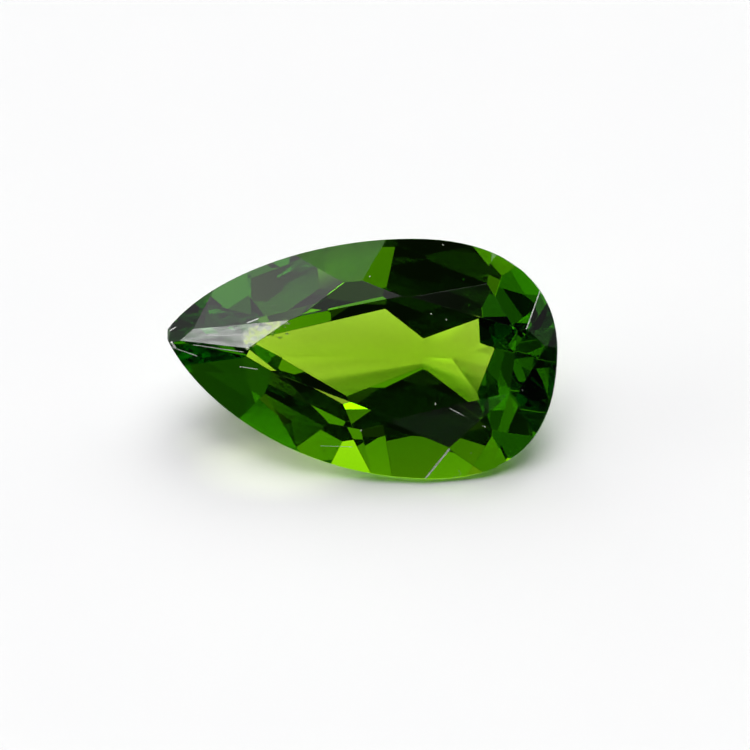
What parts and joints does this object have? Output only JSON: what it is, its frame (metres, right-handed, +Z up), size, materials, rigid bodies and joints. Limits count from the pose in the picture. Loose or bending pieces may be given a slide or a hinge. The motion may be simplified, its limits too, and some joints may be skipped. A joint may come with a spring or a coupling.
{
  "type": "pear-cut diopside gemstone",
  "caption": "Faceted pear-shaped green diopside, clear and polished, lying on a lower facet with its flat table turned towards the viewer.",
  "frame": {"origin": "middle of the stone's footprint box, on the surface it lies on", "axes": "+X from the narrow tip to the round head, +Y away from the side that the table faces, +Z up"},
  "size_m": [0.008, 0.0038, 0.0033],
  "materials": {
    "diopside": "polished"
  },
  "bodies": {
    "root": {"stone": "diopside"}
  },
  "joints": []
}
